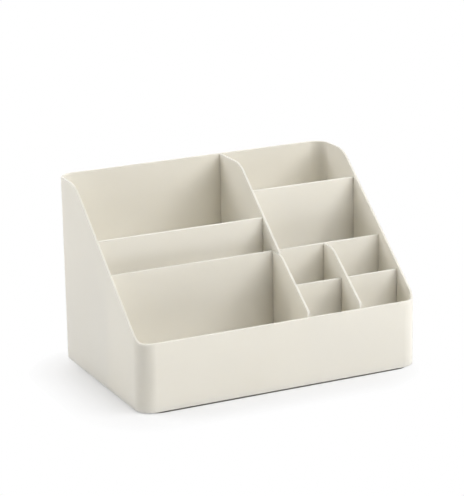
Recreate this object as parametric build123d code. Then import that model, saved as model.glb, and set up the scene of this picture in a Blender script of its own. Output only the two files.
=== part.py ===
from build123d import *
import os
from math import radians, tan

# Sloped desk organizer: a wall ring with rounded upright corners, a floor let in from below, seven
# upright panels that stand in grooves of the walls, the floor and each other, and four thin feet.
# Every panel slides up into its grooves from below, and the floor then closes the shell.
# Sizes are in millimetres. While a piece is shaped, X is measured from the middle, Y from the front
# face and Z from the shell's bottom edge. The finished part has its origin on the desk under the
# middle of the shell, +X to the right, +Y to the back and +Z up.

# Shell
overall_width = 250.0
overall_depth = 168.0
body_height = 157.0  # top of the back wall
front_height = 57.0  # top of the front wall
wall_thickness = 2.0
corner_radius = 14.0  # outside of the upright corners
side_slope_angle = 39.5  # fall of the sides towards the front, degrees
side_slope_foot = 7.2  # where the sides' slope comes down to the front wall's height
shoulder_radius = 30.0  # where a level top turns down into the sides' slope
toe_radius = 6.0  # where the sides' slope runs out level

# Floor and feet
floor_thickness = 2.4
floor_recess = 0.6  # from the shell's bottom edge up to the floor's underside
foot_gap = 1.0  # from the desk up to the shell's bottom edge
foot_diameter = 12.0
foot_pocket = 0.5  # how deep a foot sits in the floor
foot_inset = 22.0  # from the shell's faces to the middle of a foot
foot_edge_radius = 0.4

# Panels in general
panel_thickness = 2.0
housing_depth = 0.6  # how far a panel's ends and lower edge are let in
fit_gap = 0.05  # on each face between a panel and its groove
rim_step = 0.5  # a panel that runs into a higher piece stops this far below its top
rim_radius = 0.4  # rounding along the tops of walls and panels

# Dividers, which run from front to back: the middle of each along X, and the front ones' slope
centre_divider_x = 25.4
front_divider_shift = 1.4  # the front centre divider lies this far to the left of the rear one
right_divider_x = 71.6
front_slope_angle = 36.0
front_slope_foot = -3.2  # where the front dividers' slope would come down to the front wall's height
front_shoulder_radius = 14.0  # where their level top turns down into that slope
front_end_setback = 0.2  # from the front wall to the end of the divider above that wall
front_end_radius = 1.5
nose_reach = 9.0  # how far the rear divider's nose reaches in front of the middle cross wall

# Cross walls: the middle of each along Y, and its top
middle_wall_y = 65.6
middle_wall_height = 96.3
rear_left_wall_y = 85.8
rear_left_wall_height = 119.6
rear_right_wall_y = 109.4
rear_right_wall_height = 136.6
small_wall_y = 34.4
small_wall_height = 74.3

# Worked out from the sizes above
inner_width = overall_width - 2 * wall_thickness
left_inside = -inner_width / 2
right_inside = inner_width / 2
front_inside = wall_thickness
back_inside = overall_depth - wall_thickness
floor_rebate = wall_thickness / 2  # how far the floor reaches under the walls
floor_top = floor_recess + floor_thickness
panel_low = floor_top - housing_depth
half_panel = panel_thickness / 2
front_centre_divider_x = centre_divider_x - front_divider_shift
middle_wall_front = middle_wall_y - half_panel
middle_wall_back = middle_wall_y + half_panel
halving_height = (panel_low + small_wall_height) / 2
side_rise = tan(radians(side_slope_angle))
front_rise = tan(radians(front_slope_angle))
side_shoulder = side_slope_foot + (body_height - front_height) / side_rise


def block(x_limits, y_limits, z_limits):
    """A box between two limits along each axis."""
    limits = (x_limits, y_limits, z_limits)
    middle = [(low + high) / 2 for low, high in limits]
    return Pos(*middle) * Box(*[high - low for low, high in limits])


def rounded_block(margin, z_limits):
    """A block inside the shell's outer faces by a margin, with rounded upright corners."""
    width = overall_width - 2 * margin
    depth = overall_depth - 2 * margin
    outline = RectangleRounded(width, depth, corner_radius - margin)
    low = Pos(0, overall_depth / 2, z_limits[0])
    return extrude(low * outline, amount=z_limits[1] - z_limits[0])


def plate(x_limits, corners):
    """A plate across X, cut to an outline of (y, z, radius) corners."""
    points = [(y, z) for y, z, radius in corners]
    radii = [radius for y, z, radius in corners]
    face = make_face(FilletPolyline(*points, radius=radii, close=True))
    return extrude(Plane.YZ.offset(x_limits[0]) * face, amount=x_limits[1] - x_limits[0])


def thickness_limits(middle, grow):
    """The two faces of a panel about its middle plane, each let out by grow."""
    return (middle - half_panel - grow, middle + half_panel + grow)


def round_top(piece, lowest):
    """Rounds the top edges of a wall or divider: those above a height, but not upright or cross ones."""
    longest_cross = max(wall_thickness, panel_thickness) + 2 * fit_gap

    def runs_along_top(edge):
        direction = (edge @ 1 - edge @ 0).normalized()
        upright = abs(direction.Z) > 0.99
        cross = abs(direction.X) > 0.99 and edge.length < longest_cross * 1.01
        return edge.center().Z > lowest and not upright and not cross

    return fillet(piece.edges().filter_by(runs_along_top), rim_radius)


def outer_shell(panels):
    """The walls, in one piece, with a rebate for the floor and a stopped groove for each panel."""
    side_outline = [
        (0, 0, 0),
        (0, front_height, 0),
        (side_slope_foot, front_height, toe_radius),
        (side_shoulder, body_height, shoulder_radius),
        (overall_depth + shoulder_radius, body_height, 0),
        (overall_depth + shoulder_radius, 0, 0),
    ]
    walls = rounded_block(0, (0, body_height))
    walls -= rounded_block(wall_thickness, (0, body_height))
    walls &= plate((-overall_width / 2, overall_width / 2), side_outline)
    walls = round_top(walls, front_height - rim_radius)
    walls -= rounded_block(wall_thickness - floor_rebate, (0, floor_top))
    for panel in panels:
        walls -= panel
    return walls


def floor_panel(panels, feet):
    """The floor, with a groove for each panel's lower edge and a pocket for each foot."""
    floor = rounded_block(wall_thickness - floor_rebate + fit_gap, (floor_recess, floor_top))
    for piece in panels + feet:
        floor -= piece
    return floor


def front_divider_blank(x_limits, grow):
    """The square-edged plate of a divider from the front wall to the middle cross wall."""
    low = panel_low - grow
    rim = front_height - rim_step + grow
    level = middle_wall_height - rim_step + grow
    end = front_inside + front_end_setback - grow
    end_height = front_height + grow + (end - front_slope_foot) * front_rise
    shoulder = end + (level - end_height) / front_rise
    housed_front = front_inside - housing_depth - grow
    housed_back = middle_wall_front + housing_depth + grow
    outline = [
        (housed_front, low, 0),
        (housed_front, rim, 0),
        (end, rim, 0),
        (end, end_height, front_end_radius),
        (shoulder, level, front_shoulder_radius),
        (housed_back + front_shoulder_radius, level, 0),
        (housed_back + front_shoulder_radius, low, 0),
    ]
    return plate(x_limits, outline) & block(x_limits, (housed_front, housed_back), (low, level))


def front_divider(middle, grow=0.0):
    """A divider from the front wall to the middle cross wall."""
    blank = front_divider_blank(thickness_limits(middle, grow), grow)
    return round_top(blank, front_height + grow)


def rear_centre_divider(grow=0.0):
    """Back wall to middle cross wall, with a nose over that wall and the front centre divider."""
    low = panel_low - grow
    level = body_height - rim_step + grow
    tip = middle_wall_front - nose_reach
    tip_height = front_height - rim_step + grow + (tip - side_slope_foot) * side_rise
    housed_front = middle_wall_back - housing_depth - grow
    housed_back = back_inside + housing_depth + grow
    outline = [
        (tip, low, 0),
        (tip, tip_height, 0),
        (side_shoulder, level, shoulder_radius),
        (housed_back + shoulder_radius, level, 0),
        (housed_back + shoulder_radius, low, 0),
    ]
    x_limits = thickness_limits(centre_divider_x, grow)
    blank = plate(x_limits, outline) & block(x_limits, (tip, housed_back), (low, level))
    divider = round_top(blank, front_height)
    divider -= front_divider_blank(x_limits, fit_gap - grow)
    over_middle_wall = middle_wall_height + fit_gap - grow
    return divider - block(x_limits, (middle_wall_front, housed_front), (low, over_middle_wall))


def cross_wall(x_limits, middle, height, grow=0.0):
    """A wall from left to right, whose ends are let in past the faces that it stands between."""
    reach = housing_depth + grow
    ends = (x_limits[0] - reach, x_limits[1] + reach)
    wall = block(ends, thickness_limits(middle, grow), (panel_low - grow, height + grow))
    return fillet(wall.edges().filter_by(Axis.X).group_by(Axis.Z)[-1], rim_radius)


def middle_cross_wall(grow=0.0):
    """Side wall to side wall, behind the front compartments."""
    return cross_wall((left_inside, right_inside), middle_wall_y, middle_wall_height, grow)


def rear_left_cross_wall(grow=0.0):
    """Left wall to rear centre divider."""
    x_limits = (left_inside, centre_divider_x - half_panel)
    return cross_wall(x_limits, rear_left_wall_y, rear_left_wall_height, grow)


def rear_right_cross_wall(grow=0.0):
    """Rear centre divider to right wall."""
    x_limits = (centre_divider_x + half_panel, right_inside)
    return cross_wall(x_limits, rear_right_wall_y, rear_right_wall_height, grow)


def small_cross_wall(grow=0.0):
    """Front centre divider to right wall, halved over the right divider."""
    x_limits = (front_centre_divider_x + half_panel, right_inside)
    return cross_wall(x_limits, small_wall_y, small_wall_height, grow)


def halving_slot(z_limits):
    """The space that the small cross wall and the right divider take out of each other."""
    x_limits = thickness_limits(right_divider_x, fit_gap)
    return block(x_limits, thickness_limits(small_wall_y, fit_gap), z_limits)


def foot(side, end, grow=0.0):
    """A round non-slip foot: side is -1 at the left and 1 at the right, end is 0 in front and 1 behind."""
    height = foot_gap + floor_recess + foot_pocket + grow
    x = side * (overall_width / 2 - foot_inset)
    y = foot_inset + end * (overall_depth - 2 * foot_inset)
    low = Pos(x, y, -foot_gap + height / 2)
    pad = low * Cylinder(foot_diameter / 2 + grow, height)
    return fillet(pad.edges().group_by(Axis.Z)[0], foot_edge_radius)


# The right divider opens from below and the small cross wall from above where they are halved
divider_slot = halving_slot((0, halving_height + fit_gap))
cross_wall_slot = halving_slot((halving_height, body_height))

panel_housings = [
    rear_centre_divider(fit_gap),
    front_divider(front_centre_divider_x, fit_gap),
    front_divider(right_divider_x, fit_gap),
    middle_cross_wall(fit_gap),
    rear_left_cross_wall(fit_gap),
    rear_right_cross_wall(fit_gap),
    small_cross_wall(fit_gap),
]
rear_divider_housing, front_divider_housing, right_divider_housing = panel_housings[:3]
rear_left_housing, rear_right_housing, small_wall_housing = panel_housings[4:]
foot_places = {
    "foot_front_left": (-1, 0),
    "foot_front_right": (1, 0),
    "foot_rear_left": (-1, 1),
    "foot_rear_right": (1, 1),
}
foot_pockets = [foot(side, end, fit_gap) for side, end in foot_places.values()]

pieces = {
    "outer_shell": outer_shell(panel_housings),
    "floor_panel": floor_panel(panel_housings, foot_pockets),
    "rear_centre_divider": rear_centre_divider() - rear_left_housing - rear_right_housing,
    "front_centre_divider": front_divider(front_centre_divider_x) - small_wall_housing,
    "front_right_divider": front_divider(right_divider_x) - divider_slot,
    "middle_cross_wall": middle_cross_wall()
    - rear_divider_housing
    - front_divider_housing
    - right_divider_housing,
    "rear_left_cross_wall": rear_left_cross_wall(),
    "rear_right_cross_wall": rear_right_cross_wall(),
    "small_cross_wall": small_cross_wall() - cross_wall_slot,
}
for name, (side, end) in foot_places.items():
    pieces[name] = foot(side, end)

os.makedirs("parts", exist_ok=True)
to_desk = Pos(0, -overall_depth / 2, foot_gap)
for name, piece in pieces.items():
    export_step(to_desk * piece, f"parts/{name}.step")
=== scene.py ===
"""The looks of a sloped desk organizer: its moulded pieces, their finishes and a plain pale studio.

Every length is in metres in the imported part's frame: +X to the right, +Y to the back, +Z up from the
desk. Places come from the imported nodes. What a box can't say, such as a slope or a radius, is a field of
its class.
"""

from __future__ import annotations

import logging
import math
from collections.abc import Callable, Iterable
from dataclasses import dataclass, field
from enum import Enum

import bmesh
import bpy
from mathutils import Matrix, Vector

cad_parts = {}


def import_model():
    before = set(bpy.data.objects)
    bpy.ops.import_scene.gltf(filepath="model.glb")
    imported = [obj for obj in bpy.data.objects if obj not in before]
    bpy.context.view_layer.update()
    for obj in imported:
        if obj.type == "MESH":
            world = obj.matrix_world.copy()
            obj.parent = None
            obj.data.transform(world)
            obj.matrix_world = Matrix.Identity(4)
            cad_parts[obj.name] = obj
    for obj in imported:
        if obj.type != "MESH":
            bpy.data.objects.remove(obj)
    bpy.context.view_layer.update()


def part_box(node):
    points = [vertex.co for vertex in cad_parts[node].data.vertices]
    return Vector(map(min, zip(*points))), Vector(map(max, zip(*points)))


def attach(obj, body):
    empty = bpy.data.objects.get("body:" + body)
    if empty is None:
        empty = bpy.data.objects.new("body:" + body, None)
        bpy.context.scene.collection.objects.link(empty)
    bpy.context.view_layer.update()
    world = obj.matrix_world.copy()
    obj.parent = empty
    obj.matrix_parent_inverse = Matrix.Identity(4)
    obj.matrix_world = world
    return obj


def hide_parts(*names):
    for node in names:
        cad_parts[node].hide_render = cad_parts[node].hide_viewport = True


MM = 0.001
BODY = "root"
UP = Vector((0, 0, 1))
SHARP_ANGLE = math.radians(40.0)
SAME_POINT = 0.001 * MM
SAME_LEVEL = 0.01 * MM
NOISE_MIDDLE = 0.5
LOG = logging.getLogger("desk_organizer")

Colour = tuple[float, float, float]
Height = Callable[[float], float]


class Slot(Enum):
    """The record's material slots."""

    IVORY_PLASTIC = "ivory_plastic"
    FOOT_RUBBER = "foot_rubber"


class Run(Enum):
    """The way a panel runs through the organizer."""

    FRONT_TO_BACK = "front to back"
    SIDE_TO_SIDE = "side to side"


# Shader graphs


class Signal:
    """A number in a shader graph; arithmetic on it adds Math nodes."""

    def __init__(self, graph: Graph, socket: bpy.types.NodeSocket) -> None:
        """Wraps an output socket of a graph's node."""
        self.graph = graph
        self.socket = socket

    def _math(self, operation: str, first: Signal | float, second: Signal | float = 0.0) -> Signal:
        """Adds one Math node and returns its value."""
        node = self.graph.add("ShaderNodeMath", {"operation": operation}, {0: first, 1: second})
        return Signal(self.graph, node.outputs[0])

    def __add__(self, other: Signal | float) -> Signal:
        """self + other."""
        return self._math("ADD", self, other)

    def __radd__(self, other: float) -> Signal:
        """other + self."""
        return self._math("ADD", other, self)

    def __sub__(self, other: Signal | float) -> Signal:
        """self - other."""
        return self._math("SUBTRACT", self, other)

    def __rsub__(self, other: float) -> Signal:
        """other - self."""
        return self._math("SUBTRACT", other, self)

    def __mul__(self, other: Signal | float) -> Signal:
        """self * other."""
        return self._math("MULTIPLY", self, other)

    def __rmul__(self, other: float) -> Signal:
        """other * self."""
        return self._math("MULTIPLY", other, self)

    def __truediv__(self, other: Signal | float) -> Signal:
        """self / other."""
        return self._math("DIVIDE", self, other)

    def __rtruediv__(self, other: float) -> Signal:
        """other / self."""
        return self._math("DIVIDE", other, self)

    def at_most(self, other: Signal | float) -> Signal:
        """The lower of the two."""
        return self._math("MINIMUM", self, other)

    def at_least(self, other: Signal | float) -> Signal:
        """The higher of the two."""
        return self._math("MAXIMUM", self, other)


class Graph:
    """The node tree of a material or a world."""

    def __init__(self, owner: bpy.types.Material | bpy.types.World) -> None:
        """Empties the owner's tree.

        Args:
            owner: the material or world whose nodes are replaced.
        """
        owner.use_nodes = True
        self.tree = owner.node_tree
        self.tree.nodes.clear()

    def add(
        self,
        kind: str,
        settings: dict[str, object] | None = None,
        inputs: dict[str | int, object] | None = None,
    ) -> bpy.types.Node:
        """Adds a node.

        Args:
            kind: the node's type.
            settings: its properties by name, set before its sockets are filled.
            inputs: values, sockets or signals by socket name or number.

        Returns:
            The new node.
        """
        node = self.tree.nodes.new(kind)
        for name, value in (settings or {}).items():
            setattr(node, name, value)
        for key, value in (inputs or {}).items():
            source = value.socket if isinstance(value, Signal) else value
            if isinstance(source, bpy.types.NodeSocket):
                self.tree.links.new(source, node.inputs[key])
            else:
                node.inputs[key].default_value = source
        return node

    def object_place(self) -> bpy.types.NodeSocket:
        """The point that is shaded, in metres in the object's own frame."""
        return self.add("ShaderNodeTexCoord").outputs["Object"]

    def noise(self, size: float, detail: float, sharpness: float) -> Signal:
        """Soft noise on the object's coordinates.

        Args:
            size: how far apart its clouds lie, in metres.
            detail: how many finer layers it has.
            sharpness: how strong the finer layers are.

        Returns:
            A signal from 0 to 1, around NOISE_MIDDLE.
        """
        place = self.object_place()
        inputs = {"Vector": place, "Scale": 1 / size, "Detail": detail, "Roughness": sharpness}
        return Signal(self, self.add("ShaderNodeTexNoise", inputs=inputs).outputs[0])

    def blend(self, share: Signal, first: Colour, second: Colour) -> bpy.types.NodeSocket:
        """Mixes two colours by a share from 0 to 1.

        Args:
            share: how much of the second colour there is.
            first: the colour at 0.
            second: the colour at 1.

        Returns:
            The mixed colour's socket.
        """
        inputs = {0: share, 6: (*first, 1.0), 7: (*second, 1.0)}
        return self.add("ShaderNodeMix", {"data_type": "RGBA"}, inputs).outputs[2]

    def bump(self, height: Signal, depth: float) -> bpy.types.NodeSocket:
        """Turns a height from 0 to 1, over a depth in metres, into the surface's slant."""
        return self.add("ShaderNodeBump", inputs={"Distance": depth, "Height": height}).outputs[0]

    def surface(self, socket: bpy.types.NodeSocket, output: str = "ShaderNodeOutputMaterial") -> None:
        """Ends the graph in its output node."""
        self.add(output, inputs={"Surface": socket})


# Finishes


@dataclass(frozen=True)
class MouldedPlastic:
    """Satin ivory plastic from a finely etched mould, with a faint cloudiness in the melt.

    Light seeps through its thin walls: translucency is the share that does, seep_length how far it gets,
    and seep how far each colour gets of that.
    """

    name: str = "ivory_moulded_plastic"
    pale: Colour = (0.870, 0.838, 0.758)
    deep: Colour = (0.848, 0.812, 0.728)
    translucency: float = 0.65
    seep: Colour = (1.0, 1.0, 1.0)
    seep_length: float = 3.2 * MM
    cloud_size: float = 45 * MM
    cloud_detail: float = 2.0
    cloud_sharpness: float = 0.5
    etch_size: float = 0.45 * MM
    etch_depth: float = 0.012 * MM
    etch_detail: float = 3.0
    etch_sharpness: float = 0.6
    roughness: float = 0.43
    roughness_spread: float = 0.10
    specular: float = 0.45

    def build(self) -> bpy.types.Material:
        """Makes the material.

        Returns:
            The new material.
        """
        material = bpy.data.materials.new(self.name)
        graph = Graph(material)
        clouds = graph.noise(self.cloud_size, self.cloud_detail, self.cloud_sharpness)
        etching = graph.noise(self.etch_size, self.etch_detail, self.etch_sharpness)
        shader = graph.add(
            "ShaderNodeBsdfPrincipled",
            inputs={
                "Base Color": graph.blend(clouds, self.deep, self.pale),
                "Roughness": self.roughness + (etching - NOISE_MIDDLE) * self.roughness_spread,
                "Subsurface Weight": self.translucency,
                "Subsurface Radius": self.seep,
                "Subsurface Scale": self.seep_length,
                "Specular IOR Level": self.specular,
                "Normal": graph.bump(etching, self.etch_depth),
            },
        )
        graph.surface(shader.outputs[0])
        return material


@dataclass(frozen=True)
class ShellPlastic(MouldedPlastic):
    """The shell's plastic: less light seeps through it, so the walls behind it don't show on its outside."""

    name: str = "ivory_shell_plastic"
    translucency: float = 0.5
    seep_length: float = 2.8 * MM


@dataclass(frozen=True)
class SoftRubber:
    """Matt grey-beige rubber with a fine open grain."""

    name: str = "soft_foot_rubber"
    pale: Colour = (0.400, 0.385, 0.355)
    deep: Colour = (0.330, 0.315, 0.290)
    grain_size: float = 0.6 * MM
    grain_depth: float = 0.04 * MM
    grain_detail: float = 4.0
    grain_sharpness: float = 0.6
    roughness: float = 0.82
    roughness_spread: float = 0.10

    def build(self) -> bpy.types.Material:
        """Makes the material.

        Returns:
            The new material.
        """
        material = bpy.data.materials.new(self.name)
        graph = Graph(material)
        grain = graph.noise(self.grain_size, self.grain_detail, self.grain_sharpness)
        shader = graph.add(
            "ShaderNodeBsdfPrincipled",
            inputs={
                "Base Color": graph.blend(grain, self.deep, self.pale),
                "Roughness": self.roughness + (grain - NOISE_MIDDLE) * self.roughness_spread,
                "Normal": graph.bump(grain, self.grain_depth),
            },
        )
        graph.surface(shader.outputs[0])
        return material


# Shapes


@dataclass(frozen=True)
class Extent:
    """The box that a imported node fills."""

    low: Vector
    high: Vector

    @classmethod
    def of(cls, node: str) -> Extent:
        """The box of a node, by its name."""
        return cls(*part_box(node))

    @property
    def middle(self) -> Vector:
        """The middle of the box."""
        return (self.low + self.high) / 2

    @property
    def size(self) -> Vector:
        """The box's length along each axis."""
        return self.high - self.low


@dataclass(frozen=True)
class SlopedRim:
    """A top that runs level in front, up a slope and level again behind, with a round at each turn.

    foot is where the slope would come down to the front level without its round.
    """

    front_level: float
    back_level: float
    foot: float
    angle: float
    toe_radius: float
    shoulder_radius: float
    arc_steps: int = 12

    @property
    def rise(self) -> float:
        """How much the slope climbs over a unit of length."""
        return math.tan(self.angle)

    @property
    def toe(self) -> tuple[float, float]:
        """Where the round at the slope's foot starts and ends."""
        tangent = self.toe_radius * math.tan(self.angle / 2)
        return self.foot - tangent, self.foot + tangent * math.cos(self.angle)

    @property
    def shoulder(self) -> tuple[float, float]:
        """Where the round at the slope's top starts and ends.

        Returns:
            The two places, from front to back.
        """
        corner = self.foot + (self.back_level - self.front_level) / self.rise
        tangent = self.shoulder_radius * math.tan(self.angle / 2)
        return corner - tangent * math.cos(self.angle), corner + tangent

    def height(self, y: float) -> float:
        """The top's height at a place from front to back.

        Args:
            y: the place.

        Returns:
            The height there.
        """
        toe_start, toe_end = self.toe
        shoulder_start, shoulder_end = self.shoulder
        if y <= toe_start:
            return self.front_level
        if y < toe_end:
            return self.front_level + self._sagitta(self.toe_radius, y - toe_start)
        if y <= shoulder_start:
            return self.front_level + (y - self.foot) * self.rise
        if y < shoulder_end:
            return self.back_level - self._sagitta(self.shoulder_radius, shoulder_end - y)
        return self.back_level

    @staticmethod
    def _sagitta(radius: float, run: float) -> float:
        """How far an arc has left its tangent after a run along it."""
        return radius - math.sqrt(radius * radius - run * run)

    def stations(self) -> list[float]:
        """The places where the top needs a point.

        Returns:
            The places, from front to back.
        """
        places = []
        if self.toe_radius > 0:
            start = self.toe[0]
            places += [start + self.toe_radius * math.sin(turn) for turn in self._turns()]
        end = self.shoulder[1]
        places += [end - self.shoulder_radius * math.sin(turn) for turn in self._turns()]
        return sorted(places)

    def _turns(self) -> list[float]:
        """Even steps of turn through one round."""
        return [self.angle * step / self.arc_steps for step in range(self.arc_steps + 1)]


def unit_square(mesh: bmesh.types.BMesh, shape: Matrix) -> None:
    """Adds a face that is 1 by 1 around the origin before its shape is applied."""
    bmesh.ops.create_grid(mesh, x_segments=1, y_segments=1, size=0.5, matrix=shape)


def rounded_outline(mesh: bmesh.types.BMesh, extent: Extent, radius: float, segments: int) -> None:
    """Lays a rectangle with rounded corners flat at the bottom of an extent.

    Args:
        mesh: an empty mesh, which takes the face.
        extent: the box whose outline it is.
        radius: the corners' radius.
        segments: how many edges each corner has.
    """
    size = extent.size
    place = Matrix.Translation((extent.middle.x, extent.middle.y, extent.low.z))
    unit_square(mesh, place @ Matrix.Diagonal((size.x, size.y, 1, 1)))
    bmesh.ops.bevel(
        mesh,
        geom=mesh.verts[:],
        offset=radius,
        segments=segments,
        profile=0.5,
        affect="VERTICES",
        material=-1,
    )


def round_edges(
    mesh: bmesh.types.BMesh, edges: list[bmesh.types.BMEdge], radius: float, segments: int
) -> None:
    """Rounds edges of a mesh.

    Args:
        mesh: the mesh.
        edges: its edges that are rounded.
        radius: the round's radius.
        segments: how many faces each round has.
    """
    bmesh.ops.bevel(
        mesh, geom=edges, offset=radius, segments=segments, profile=0.5, affect="EDGES", material=-1
    )


def extrude_faces(mesh: bmesh.types.BMesh, step: Vector) -> None:
    """Makes a solid of a flat sheet.

    Args:
        mesh: a mesh that holds nothing but the sheet.
        step: the way from the sheet to its second face.
    """
    grown = bmesh.ops.extrude_face_region(mesh, geom=mesh.faces[:])["geom"]
    points = [item for item in grown if isinstance(item, bmesh.types.BMVert)]
    bmesh.ops.translate(mesh, verts=points, vec=step)


def made_piece(
    mesh: bmesh.types.BMesh, node: str, prefix: str, slot: Slot, material: bpy.types.Material
) -> None:
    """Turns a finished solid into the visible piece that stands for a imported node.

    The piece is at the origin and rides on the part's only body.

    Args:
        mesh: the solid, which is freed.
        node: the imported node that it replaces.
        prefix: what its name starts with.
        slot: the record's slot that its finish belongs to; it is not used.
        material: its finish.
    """
    bmesh.ops.remove_doubles(mesh, verts=mesh.verts[:], dist=SAME_POINT)
    bmesh.ops.recalc_face_normals(mesh, faces=mesh.faces[:])
    for face in mesh.faces:
        face.smooth = True
    for edge in mesh.edges:
        edge.smooth = edge.calc_face_angle() < SHARP_ANGLE
    data = bpy.data.meshes.new(f"{prefix}_{node}")
    mesh.to_mesh(data)
    mesh.free()
    data.materials.append(material)
    piece = bpy.data.objects.new(f"{prefix}_{node}", data)
    bpy.context.scene.collection.objects.link(piece)
    even = piece.modifiers.new("even_normals", "WEIGHTED_NORMAL")
    even.keep_sharp = True
    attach(piece, BODY)
    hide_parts(node)
    LOG.info("%s: %d faces", piece.name, len(data.polygons))


class UprightPanel:
    """A panel that starts as a rectangle in its own plane and is cut, topped and thickened.

    Its limits are cosines that tell one direction from another: an edge that runs through the thickness,
    the panel's two big faces, the faces of its top, and faces that stand square to the big ones.
    """

    THROUGH = 0.99
    FACING = 0.9
    UPWARD = 0.3
    SQUARE = 0.1

    def __init__(
        self, run: Run, ends: tuple[float, float], levels: tuple[float, float], face: float
    ) -> None:
        """Stands the rectangle up.

        Args:
            run: the way it runs.
            ends: where it starts and ends along that way.
            levels: its bottom and its top.
            face: where its first face lies across that way.
        """
        lengthwise = run is Run.FRONT_TO_BACK
        self.along = Vector((0, 1, 0)) if lengthwise else Vector((1, 0, 0))
        self.across = Vector((1, 0, 0)) if lengthwise else Vector((0, 1, 0))
        centre = self.along * (sum(ends) / 2) + UP * (sum(levels) / 2) + self.across * face
        columns = (self.along * (ends[1] - ends[0]), UP * (levels[1] - levels[0]), self.across, centre)
        shape = Matrix([column.to_4d() for column in columns]).transposed()
        shape[3] = (0, 0, 0, 1)
        self.mesh = bmesh.new()
        unit_square(self.mesh, shape)

    def cut(self, places: Iterable[float]) -> None:
        """Cuts the sheet upright at places along it."""
        for place in places:
            self._bisect(self.along, place)

    def cut_level(self, height: float) -> None:
        """Cuts the sheet level at a height."""
        self._bisect(UP, height)

    def _bisect(self, normal: Vector, distance: float) -> None:
        """Cuts everything at a plane.

        Args:
            normal: the plane's normal, of length 1.
            distance: how far along it the plane lies.
        """
        everything = self.mesh.verts[:] + self.mesh.edges[:] + self.mesh.faces[:]
        bmesh.ops.bisect_plane(
            self.mesh, geom=everything, dist=SAME_POINT, plane_co=normal * distance, plane_no=normal
        )

    def remove(self, ends: tuple[float, float], levels: tuple[float, float]) -> None:
        """Takes away the cut fields whose middle lies between two places and two heights.

        Args:
            ends: the places along the panel.
            levels: the heights.
        """
        spare = []
        for patch in self.mesh.faces:
            middle = patch.calc_center_median()
            if ends[0] < middle.dot(self.along) < ends[1] and levels[0] < middle.z < levels[1]:
                spare.append(patch)
        bmesh.ops.delete(self.mesh, geom=spare, context="FACES")

    def follow(self, level: float, line: Height, before: float = math.inf) -> None:
        """Moves the points that lie at one level onto a line.

        Args:
            level: the height that the points have now.
            line: the height that they get, by their place along the panel.
            before: points past this place stay.
        """
        for vertex in self.mesh.verts:
            place = vertex.co.dot(self.along)
            if abs(vertex.co.z - level) < SAME_LEVEL and place < before:
                vertex.co.z = line(place)

    def thicken(self, thickness: float) -> None:
        """Gives the sheet its second face.

        Args:
            thickness: how far across the panel that face lies.
        """
        extrude_faces(self.mesh, self.across * thickness)
        bmesh.ops.recalc_face_normals(self.mesh, faces=self.mesh.faces[:])
        self.mesh.normal_update()

    def round_corner(self, place: float, radius: float, segments: int) -> None:
        """Rounds the highest edge that crosses the panel at a place along it.

        Args:
            place: the place.
            radius: the round's radius.
            segments: how many faces the round has.
        """
        crossing = [edge for edge in self.mesh.edges if self._crosses(edge, place)]
        highest = max(crossing, key=lambda edge: edge.verts[0].co.z)
        round_edges(self.mesh, [highest], radius, segments)

    def _crosses(self, edge: bmesh.types.BMEdge, place: float) -> bool:
        """Tells whether an edge runs through the thickness at a place along the panel.

        Args:
            edge: the edge.
            place: the place.

        Returns:
            True where it does.
        """
        first, second = (vertex.co for vertex in edge.verts)
        through = abs((second - first).normalized().dot(self.across)) > self.THROUGH
        return through and abs(first.dot(self.along) - place) < SAME_LEVEL

    def round_top(self, radius: float, segments: int) -> None:
        """Rounds the edges between the two faces and the top."""
        edges = [edge for edge in self.mesh.edges if self._borders_top(edge)]
        round_edges(self.mesh, edges, radius, segments)

    def _borders_top(self, edge: bmesh.types.BMEdge) -> bool:
        """Tells whether an edge lies between one of the two faces and the top.

        Args:
            edge: the edge.

        Returns:
            True where it does.
        """
        turned = [(abs(face.normal.dot(self.across)), face.normal.z) for face in edge.link_faces]
        faces = [across for across, _ in turned if across > self.FACING]
        tops = [rise for across, rise in turned if across < self.SQUARE and rise > self.UPWARD]
        return len(faces) == 1 and len(tops) == 1


# Sub-assemblies


@dataclass
class PanelStyle:
    """What all the upright panels have in common.

    housing is how much of a packed panel's end is let into its neighbour, bite how much of that is kept,
    and clearance the room that panels leave where they cross.
    """

    housing: float = 0.6 * MM
    bite: float = 0.35 * MM
    clearance: float = 0.05 * MM
    rim_radius: float = 0.45 * MM
    rim_segments: int = 3

    @property
    def hidden(self) -> float:
        """How much of a panel's end or lower edge is left off, out of sight."""
        return self.housing - self.bite


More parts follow.
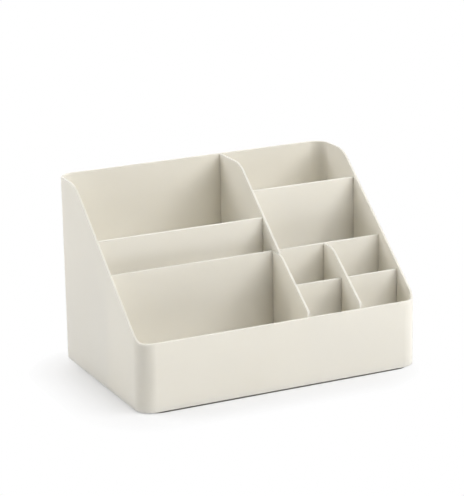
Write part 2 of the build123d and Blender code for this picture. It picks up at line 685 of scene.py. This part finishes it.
@dataclass
class OuterShell:
    """The wall ring, with rounded upright corners, sloped sides and a rebate for the floor.

    floor_cover is how much of the wall's thickness passes outside the floor.
    """

    plastic: bpy.types.Material
    wall: float = 2.0 * MM
    front_height: float = 57.0 * MM
    slope_angle: float = math.radians(39.5)
    slope_foot: float = 7.2 * MM
    toe_radius: float = 6.0 * MM
    shoulder_radius: float = 30.0 * MM
    corner_radius: float = 14.0 * MM
    corner_segments: int = 20
    floor_cover: float = 1.0 * MM
    rim_radius: float = 0.5 * MM
    rim_segments: int = 4
    base_edge_radius: float = 0.25 * MM
    base_edge_segments: int = 2
    extent: Extent = field(default_factory=lambda: Extent.of("outer_shell"))

    @property
    def rim(self) -> SlopedRim:
        """The line of the shell's top.

        Returns:
            The line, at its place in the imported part.
        """
        return SlopedRim(
            front_level=self.extent.low.z + self.front_height,
            back_level=self.extent.high.z,
            foot=self.extent.low.y + self.slope_foot,
            angle=self.slope_angle,
            toe_radius=self.toe_radius,
            shoulder_radius=self.shoulder_radius,
        )

    def build(self) -> None:
        """Runs the wall's section round the outline, loop by loop, and closes it."""
        mesh = bmesh.new()
        rounded_outline(mesh, self.extent, self.corner_radius, self.corner_segments)
        bmesh.ops.delete(mesh, geom=mesh.faces[:], context="FACES_ONLY")
        for place in self.rim.stations():
            lines = mesh.verts[:] + mesh.edges[:]
            bmesh.ops.bisect_plane(
                mesh, geom=lines, dist=SAME_POINT, plane_co=(0, place, 0), plane_no=(0, 1, 0)
            )
        base = self.extent.low.z
        ledge = Extent.of("floor_panel").high.z
        loops = [mesh.edges[:]]
        section = [
            (0.0, self.rim.height),
            (self.wall, self.rim.height),
            (self.wall, lambda place: ledge),
            (self.floor_cover, lambda place: ledge),
            (self.floor_cover, lambda place: base),
        ]
        for margin, height in section:
            loops.append(self._next_loop(mesh, loops[-1], margin, height))
        bmesh.ops.bridge_loops(mesh, edges=loops[0] + loops[-1])
        round_edges(mesh, loops[1] + loops[2], self.rim_radius, self.rim_segments)
        round_edges(mesh, loops[0], self.base_edge_radius, self.base_edge_segments)
        made_piece(mesh, "outer_shell", "moulded", Slot.IVORY_PLASTIC, self.plastic)

    def _next_loop(
        self, mesh: bmesh.types.BMesh, loop: list[bmesh.types.BMEdge], margin: float, height: Height
    ) -> list[bmesh.types.BMEdge]:
        """Extrudes a loop of edges to the section's next point.

        Args:
            mesh: the shell so far.
            loop: the last loop's edges.
            margin: how far inside the outer face the new loop lies.
            height: its height, by its place from front to back.

        Returns:
            The new loop's edges.
        """
        grown = bmesh.ops.extrude_edge_only(mesh, edges=loop)["geom"]
        for item in grown:
            if isinstance(item, bmesh.types.BMVert):
                place = self._inside(item.co, margin)
                item.co = (place.x, place.y, height(place.y))
        return [item for item in grown if isinstance(item, bmesh.types.BMEdge)]

    def _inside(self, point: Vector, margin: float) -> Vector:
        """Moves a point of the outline square to it.

        Args:
            point: a point on the outer face.
            margin: how far inside the outer face it ends up.

        Returns:
            Its new place in plan.
        """
        inset = Vector((1, 1, 0)) * self.corner_radius
        low, high = self.extent.low + inset, self.extent.high - inset
        core = Vector((min(max(point.x, low.x), high.x), min(max(point.y, low.y), high.y)))
        outward = (point.xy - core).normalized()
        return core + outward * (self.corner_radius - margin)


@dataclass
class FloorPanel:
    """The floor, let in from below."""

    plastic: bpy.types.Material
    corner_radius: float = 12.95 * MM
    corner_segments: int = 20
    edge_radius: float = 0.3 * MM
    edge_segments: int = 2

    def build(self) -> None:
        """Extrudes the outline and rounds the lower edge."""
        extent = Extent.of("floor_panel")
        mesh = bmesh.new()
        rounded_outline(mesh, extent, self.corner_radius, self.corner_segments)
        lower_edges = mesh.edges[:]
        extrude_faces(mesh, UP * extent.size.z)
        round_edges(mesh, lower_edges, self.edge_radius, self.edge_segments)
        made_piece(mesh, "floor_panel", "moulded", Slot.IVORY_PLASTIC, self.plastic)


@dataclass
class Dividers:
    """The three panels that run from front to back.

    The two front ones end rim_step under the tops of the walls that they meet, and rise above the front
    wall only front_end_setback behind it.
    """

    plastic: bpy.types.Material
    shell: OuterShell
    style: PanelStyle
    front_slope_angle: float = math.radians(36.0)
    front_slope_foot: float = -3.2 * MM
    front_shoulder_radius: float = 14.0 * MM
    front_end_setback: float = 0.2 * MM
    front_end_radius: float = 1.5 * MM
    front_end_segments: int = 4
    rim_step: float = 0.5 * MM

    @property
    def front_rim(self) -> SlopedRim:
        """The line of the front dividers' top.

        Returns:
            The line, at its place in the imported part.
        """
        return SlopedRim(
            front_level=self.shell.rim.front_level,
            back_level=Extent.of("middle_cross_wall").high.z - self.rim_step,
            foot=self.shell.extent.low.y + self.front_slope_foot,
            angle=self.front_slope_angle,
            toe_radius=0.0,
            shoulder_radius=self.front_shoulder_radius,
        )

    def build(self) -> None:
        """Makes the three dividers."""
        self._rear_centre()
        self._front("front_centre_divider", None)
        self._front("front_right_divider", Extent.of("small_cross_wall"))

    def _front(self, node: str, crossing: Extent | None) -> None:
        """Makes a divider between the front wall and the middle cross wall.

        Args:
            node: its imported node.
            crossing: the cross wall that it is halved over, if there is one.
        """
        extent = Extent.of(node)
        rim = self.front_rim
        start = extent.low.y + self.style.hidden
        end = extent.high.y - self.style.hidden
        bottom = extent.low.z + self.style.hidden
        panel = UprightPanel(Run.FRONT_TO_BACK, (start, end), (bottom, rim.back_level), extent.low.x)
        step_end = self.shell.extent.low.y + self.shell.wall + self.front_end_setback
        step_level = self.shell.rim.front_level - self.rim_step
        panel.cut([step_end] + [place for place in rim.stations() if place < end])
        panel.cut_level(step_level)
        panel.remove((start, step_end), (step_level, rim.back_level))
        if crossing is not None:
            slot = (crossing.low.y - self.style.clearance, crossing.high.y + self.style.clearance)
            halving = (bottom + crossing.high.z) / 2
            panel.cut(slot)
            panel.cut_level(halving)
            panel.remove(slot, (bottom, halving))
        panel.follow(rim.back_level, rim.height)
        panel.thicken(extent.size.x)
        panel.round_corner(step_end, self.front_end_radius, self.front_end_segments)
        panel.round_top(self.style.rim_radius, self.style.rim_segments)
        made_piece(panel.mesh, node, "moulded", Slot.IVORY_PLASTIC, self.plastic)

    def _rear_centre(self) -> None:
        """Makes the divider behind the middle cross wall, with its nose over that wall."""
        node = "rear_centre_divider"
        extent = Extent.of(node)
        middle_wall = Extent.of("middle_cross_wall")
        rim, front_rim, clearance = self.shell.rim, self.front_rim, self.style.clearance
        top = rim.back_level
        tip = extent.low.y
        end = extent.high.y - self.style.hidden
        bottom = extent.low.z + self.style.hidden
        over_wall = middle_wall.high.z + clearance
        foot = middle_wall.high.y - self.style.bite
        panel = UprightPanel(Run.FRONT_TO_BACK, (tip, end), (bottom, top), extent.low.x)
        places = [place for place in rim.stations() + front_rim.stations() if tip < place < end]
        panel.cut(places + [middle_wall.low.y - clearance, middle_wall.low.y, foot])
        panel.cut_level(over_wall)
        panel.remove((tip, foot), (bottom, over_wall))
        panel.follow(over_wall, lambda place: front_rim.height(place) + clearance, before=middle_wall.low.y)
        panel.follow(top, lambda place: min(rim.height(place), extent.high.z))
        panel.thicken(extent.size.x)
        panel.round_top(self.style.rim_radius, self.style.rim_segments)
        made_piece(panel.mesh, node, "moulded", Slot.IVORY_PLASTIC, self.plastic)


@dataclass
class CrossWalls:
    """The four panels that run from side to side."""

    plastic: bpy.types.Material
    style: PanelStyle

    def build(self) -> None:
        """Makes the four walls, the small one halved over the right divider."""
        for node in ("middle_cross_wall", "rear_left_cross_wall", "rear_right_cross_wall"):
            self._wall(node, None)
        self._wall("small_cross_wall", Extent.of("front_right_divider"))

    def _wall(self, node: str, crossing: Extent | None) -> None:
        """Makes one wall.

        Args:
            node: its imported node.
            crossing: the divider that it is halved over, if there is one.
        """
        extent = Extent.of(node)
        ends = (extent.low.x + self.style.hidden, extent.high.x - self.style.hidden)
        bottom = extent.low.z + self.style.hidden
        panel = UprightPanel(Run.SIDE_TO_SIDE, ends, (bottom, extent.high.z), extent.low.y)
        if crossing is not None:
            slot = (crossing.low.x - self.style.clearance, crossing.high.x + self.style.clearance)
            halving = (bottom + extent.high.z) / 2
            panel.cut(slot)
            panel.cut_level(halving)
            panel.remove(slot, (halving, extent.high.z))
        panel.thicken(extent.size.y)
        panel.round_top(self.style.rim_radius, self.style.rim_segments)
        made_piece(panel.mesh, node, "moulded", Slot.IVORY_PLASTIC, self.plastic)


@dataclass
class Feet:
    """The four round non-slip pads under the floor."""

    rubber: bpy.types.Material
    segments: int = 48
    edge_radius: float = 0.4 * MM
    edge_segments: int = 4
    dish_margin: float = 1.6 * MM
    dish_slope: float = 0.8 * MM
    dish_depth: float = 0.15 * MM

    def build(self) -> None:
        """Makes the four feet."""
        for end in ("front", "rear"):
            for side in ("left", "right"):
                self._foot(f"foot_{end}_{side}")

    def _foot(self, node: str) -> None:
        """Makes one foot: a disc with a rounded lower edge and a shallow dish in its sole.

        Args:
            node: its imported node.
        """
        extent = Extent.of(node)
        sole = Matrix.Translation((extent.middle.x, extent.middle.y, extent.low.z))
        height = Extent.of("floor_panel").low.z - extent.low.z
        mesh = bmesh.new()
        bmesh.ops.create_circle(
            mesh, cap_ends=True, segments=self.segments, radius=extent.size.x / 2, matrix=sole
        )
        sole_edges = mesh.edges[:]
        extrude_faces(mesh, UP * height)
        round_edges(mesh, sole_edges, self.edge_radius, self.edge_segments)
        mesh.faces.ensure_lookup_table()
        lowest = min(mesh.faces, key=lambda face: (face.calc_center_median().z, -face.calc_area()))
        bmesh.ops.inset_region(mesh, faces=[lowest], thickness=self.dish_margin, depth=0)
        bmesh.ops.inset_region(mesh, faces=[lowest], thickness=self.dish_slope, depth=-self.dish_depth)
        made_piece(mesh, node, "soft", Slot.FOOT_RUBBER, self.rubber)


# Studio


@dataclass(frozen=True)
class Softbox:
    """A square soft lamp that faces the organizer.

    level is how bright it alone renders a matt white face turned to it; azimuth is counted from the
    front towards the right. A lamp that isn't mirrored leaves no highlight.
    """

    name: str
    azimuth: float
    elevation: float
    level: float
    size: float = 1.0
    distance: float = 2.0
    mirrored: bool = True

    def build(self, target: Vector) -> None:
        """Hangs the lamp at its place.

        Args:
            target: the point that it is turned to.
        """
        turn, tilt = math.radians(self.azimuth), math.radians(self.elevation)
        away = Vector((math.sin(turn) * math.cos(tilt), -math.cos(turn) * math.cos(tilt), math.sin(tilt)))
        lamp = bpy.data.lights.new(self.name, "AREA")
        lamp.shape = "SQUARE"
        lamp.size = self.size
        lamp.energy = self.level * (math.pi * self.distance) ** 2
        holder = bpy.data.objects.new(self.name, lamp)
        holder.location = target + away * self.distance
        holder.rotation_euler = (-away).to_track_quat("-Z", "Y").to_euler()
        holder.visible_camera = False
        holder.visible_glossy = self.mirrored
        bpy.context.scene.collection.objects.link(holder)


@dataclass
class Viewpoint:
    """The camera, in metres and degrees, with turn counted from straight ahead towards the right.

    The focal length and the sensor's height are in millimetres.
    """

    place: tuple[float, float, float] = (-0.72713, -1.52024, 0.59258)
    turn: float = 25.4229
    dip: float = 16.3539
    roll: float = -1.0293
    focal_length: float = 154.22
    sensor_height: float = 36.0
    far_limit: float = 50.0

    def build(self) -> None:
        """Sets the camera up and makes it the scene's."""
        lens = bpy.data.cameras.new("camera")
        lens.sensor_fit = "VERTICAL"
        lens.sensor_height = self.sensor_height
        lens.lens = self.focal_length
        lens.clip_end = self.far_limit
        camera = bpy.data.objects.new("camera", lens)
        turned = Matrix.Rotation(-math.radians(self.turn), 4, "Z")
        dipped = Matrix.Rotation(math.radians(90.0 - self.dip), 4, "X")
        rolled = Matrix.Rotation(math.radians(self.roll), 4, "Z")
        camera.matrix_world = Matrix.Translation(self.place) @ turned @ dipped @ rolled
        bpy.context.scene.collection.objects.link(camera)
        bpy.context.scene.camera = camera


@dataclass
class Studio:
    """A pale floor in a white room with soft lamps.

    Two level rectangles, each given by its centre and half its sizes, shape the floor. Within a given reach
    of the first, under the organizer's base, it is painted dark: a painted shade. Over fade_length away from
    the second, it fades to white.
    """

    floor_size: float = 12.0
    floor_segments: int = 8
    floor_colour: Colour = (0.86, 0.86, 0.86)
    # Painted shade: the dark colour painted on the floor under the organizer's base, and the rectangle where
    # it lies.
    painted_shade_colour: Colour = (0.26, 0.25, 0.22)
    painted_shade_centre: tuple[float, float] = (0.0, 0.0)
    painted_shade_half: tuple[float, float] = (0.105, 0.070)
    painted_shade_reach: float = 13.5 * MM
    painted_shade_edge: float = 1.0 * MM
    fade_centre: tuple[float, float] = (-0.020, -0.014)
    fade_half: tuple[float, float] = (0.086, 0.043)
    fade_length: float = 67 * MM
    target: Vector = field(default_factory=lambda: Vector((0.0, 0.0, 0.08)))
    lamps: tuple[Softbox, ...] = (
        Softbox("lamp_front", azimuth=15, elevation=35, level=0.35),
        Softbox("lamp_right", azimuth=55, elevation=35, level=0.61),
        Softbox("lamp_rear_right", azimuth=165, elevation=30, level=0.40, mirrored=False),
        Softbox("lamp_rear_left", azimuth=230, elevation=40, level=0.51, mirrored=False),
        Softbox("lamp_left", azimuth=270, elevation=30, level=0.12),
    )

    def build(self) -> None:
        """Makes the floor, the room and the lamps."""
        bpy.context.scene.view_settings.view_transform = "Standard"
        self._floor()
        self._room()
        for lamp in self.lamps:
            lamp.build(self.target)

    def _seen(self, graph: Graph) -> Signal:
        """Tells the rays that see the studio from those that light the organizer.

        Args:
            graph: the graph that it is worked out in.

        Returns:
            1 for rays from the camera, and for those that gloss or glass sends on, else 0.
        """
        rays = graph.add("ShaderNodeLightPath").outputs
        camera = Signal(graph, rays["Is Camera Ray"])
        glossy = Signal(graph, rays["Is Glossy Ray"])
        through = Signal(graph, rays["Is Transmission Ray"])
        return camera.at_least(glossy).at_least(through)

    def _reach(self, graph: Graph, centre: tuple[float, float], half: tuple[float, float]) -> Signal:
        """How far the shaded point lies outside a level rectangle.

        Args:
            graph: the graph that it is worked out in.
            centre: the rectangle's centre.
            half: its half sizes.

        Returns:
            The distance in metres, 0 inside the rectangle.
        """
        place = graph.object_place()
        origin = (0.0, 0.0, 0.0)
        steps = (
            ("SUBTRACT", (*centre, 0.0)),
            ("ABSOLUTE", origin),
            ("SUBTRACT", (*half, 0.0)),
            ("MAXIMUM", origin),
        )
        for operation, operand in steps:
            inputs = {0: place, 1: operand}
            place = graph.add("ShaderNodeVectorMath", {"operation": operation}, inputs).outputs[0]
        length = graph.add("ShaderNodeVectorMath", {"operation": "LENGTH"}, {0: place})
        return Signal(graph, length.outputs["Value"])

    def _floor(self) -> None:
        """Lays the floor: it shows the organizer's shadow, has a painted shade under its base and fades to
        white away from it.
        """
        data = bpy.data.meshes.new("studio_floor")
        mesh = bmesh.new()
        segments = self.floor_segments
        bmesh.ops.create_grid(mesh, x_segments=segments, y_segments=segments, size=self.floor_size / 2)
        mesh.to_mesh(data)
        mesh.free()
        material = bpy.data.materials.new("studio_floor")
        graph = Graph(material)
        # Painted shade: under the organizer's base the floor's colour is darkened, not its light; the mask
        # is 0 there.
        past_painted_shade = self._reach(graph, self.painted_shade_centre, self.painted_shade_half) - self.painted_shade_reach
        outside_painted_shade = (past_painted_shade / self.painted_shade_edge).at_least(0.0).at_most(1.0)
        fade = self._reach(graph, self.fade_centre, self.fade_half) / self.fade_length
        share = fade.at_most(1.0) * outside_painted_shade * self._seen(graph)
        colour = graph.blend(outside_painted_shade, self.painted_shade_colour, self.floor_colour)
        matt = graph.add("ShaderNodeBsdfDiffuse", inputs={"Color": colour})
        white = graph.add("ShaderNodeEmission", inputs={"Strength": 1.0})
        shaders = {0: share, 1: matt.outputs[0], 2: white.outputs[0]}
        graph.surface(graph.add("ShaderNodeMixShader", inputs=shaders).outputs[0])
        data.materials.append(material)
        floor = bpy.data.objects.new("studio_floor", data)
        bpy.context.scene.collection.objects.link(floor)

    def _room(self) -> None:
        """Makes the room white to look at, with no light of its own."""
        world = bpy.data.worlds.new("studio_room")
        bpy.context.scene.world = world
        graph = Graph(world)
        inputs = {"Color": (1, 1, 1, 1), "Strength": self._seen(graph)}
        white = graph.add("ShaderNodeBackground", inputs=inputs)
        graph.surface(white.outputs[0], "ShaderNodeOutputWorld")


def main() -> None:
    """Builds the organizer and its studio."""
    logging.basicConfig(level=logging.INFO, format="%(name)s %(message)s")
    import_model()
    plastic = MouldedPlastic().build()
    rubber = SoftRubber().build()
    style = PanelStyle()
    shell = OuterShell(ShellPlastic().build())
    shell.build()
    FloorPanel(plastic).build()
    Dividers(plastic, shell, style).build()
    CrossWalls(plastic, style).build()
    Feet(rubber).build()
    Viewpoint().build()
    Studio().build()


if __name__ == "__main__":
    main()
